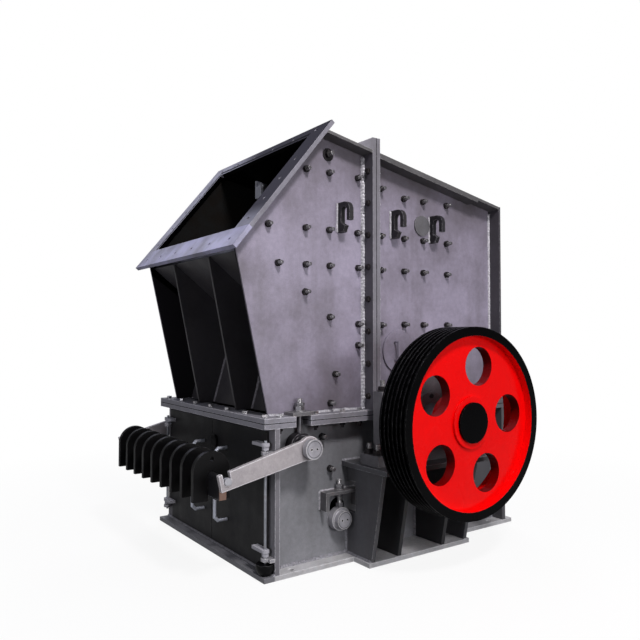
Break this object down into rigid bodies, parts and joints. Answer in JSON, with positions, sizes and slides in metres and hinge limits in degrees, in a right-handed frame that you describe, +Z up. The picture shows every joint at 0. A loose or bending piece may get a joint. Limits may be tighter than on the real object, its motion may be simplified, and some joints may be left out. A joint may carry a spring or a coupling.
{
  "type": "impact crusher",
  "caption": "Impact crusher: bolted plate casing with a slanted feed mouth, grooved drive pulley, bearing stands, front doors and a counterweight lever with saddle weights.",
  "frame": {"origin": "centre of the base plate's outline, on its underside, which is the floor", "axes": "+X from the feed end to the rear, +Y away from the drive pulley, +Z up"},
  "size_m": [2.3411, 2.3, 2.533],
  "materials": {
    "casing_paint": "satin paint",
    "flange_paint": "satin paint",
    "dark_paint": "satin paint",
    "black_paint": "satin paint",
    "red_gloss": "gloss paint",
    "bare_steel": "machined",
    "rotor_iron": "as cast",
    "bar_iron": "as cast"
  },
  "bodies": {
    "casing": {"base_frame": "casing_paint", "lower_side_walls": "casing_paint", "lower_front_frame": "casing_paint", "lower_rear_wall": "casing_paint", "lower_mid_flange": "flange_paint", "upper_mid_flange": "flange_paint", "front_side_walls": "casing_paint", "rear_side_walls": "casing_paint", "front_wall": "dark_paint", "chute_floor": "dark_paint", "front_ribs": "dark_paint", "feed_flange": "flange_paint", "front_roof": "casing_paint", "rear_roof": "casing_paint", "split_flange_front": "flange_paint", "split_flange_rear": "flange_paint", "upper_rear_wall": "casing_paint", "rear_flange": "flange_paint", "bearing_stands": "dark_paint", "bearing_housings": "dark_paint", "shaft_seals": "dark_paint", "cross_shaft_bushes": "dark_paint", "door_hinge_rods": "bare_steel", "lifting_hooks": "casing_paint", "inspection_covers": "casing_paint", "pivot_eyebolts": "bare_steel", "eyebolt_bridges": "bare_steel", "adjusting_brackets": "bare_steel", "adjusting_pins": "bare_steel", "hinge_lugs": "flange_paint", "hinge_cups": "black_paint", "side_liners": "bar_iron", "apron_shaft": "bare_steel", "impact_apron": "rotor_iron"},
    "rotor": {"rotor_shaft": "bare_steel", "rotor_body": "rotor_iron", "blow_bars": "bar_iron", "pulley_rim": "black_paint", "pulley_web": "red_gloss", "pulley_hub_cap": "black_paint"},
    "counterweight": {"lever_cross_shaft": "bare_steel", "lever_arms": "flange_paint", "lever_shaft_caps": "bare_steel", "weight_bar": "bare_steel", "weight_plates": "black_paint"},
    "near_door": {"door_near": "dark_paint", "door_near_handle": "bare_steel", "door_latch": "bare_steel"},
    "far_door": {"door_far": "dark_paint", "door_far_handle": "bare_steel"}
  },
  "joints": [
    {"name": "rotor_spin", "type": "hinge", "parent": "casing", "child": "rotor", "pos_m": [0, 0, 0.82], "axis": [0, 1, 0], "continuous": true},
    {"name": "counterweight_lift", "type": "hinge", "parent": "casing", "child": "counterweight", "pos_m": [-0.738, 0, 0.683], "axis": [0, 1, 0], "range_deg": [0, 45]},
    {"name": "near_door_swing", "type": "hinge", "parent": "casing", "child": "near_door", "pos_m": [-0.965, -0.668, 0.4], "axis": [0, 0, 1], "range_deg": [0, 10.5]},
    {"name": "far_door_swing", "type": "hinge", "parent": "casing", "child": "far_door", "pos_m": [-0.965, 0.668, 0.4], "axis": [0, 0, -1], "range_deg": [0, 9]}
  ]
}
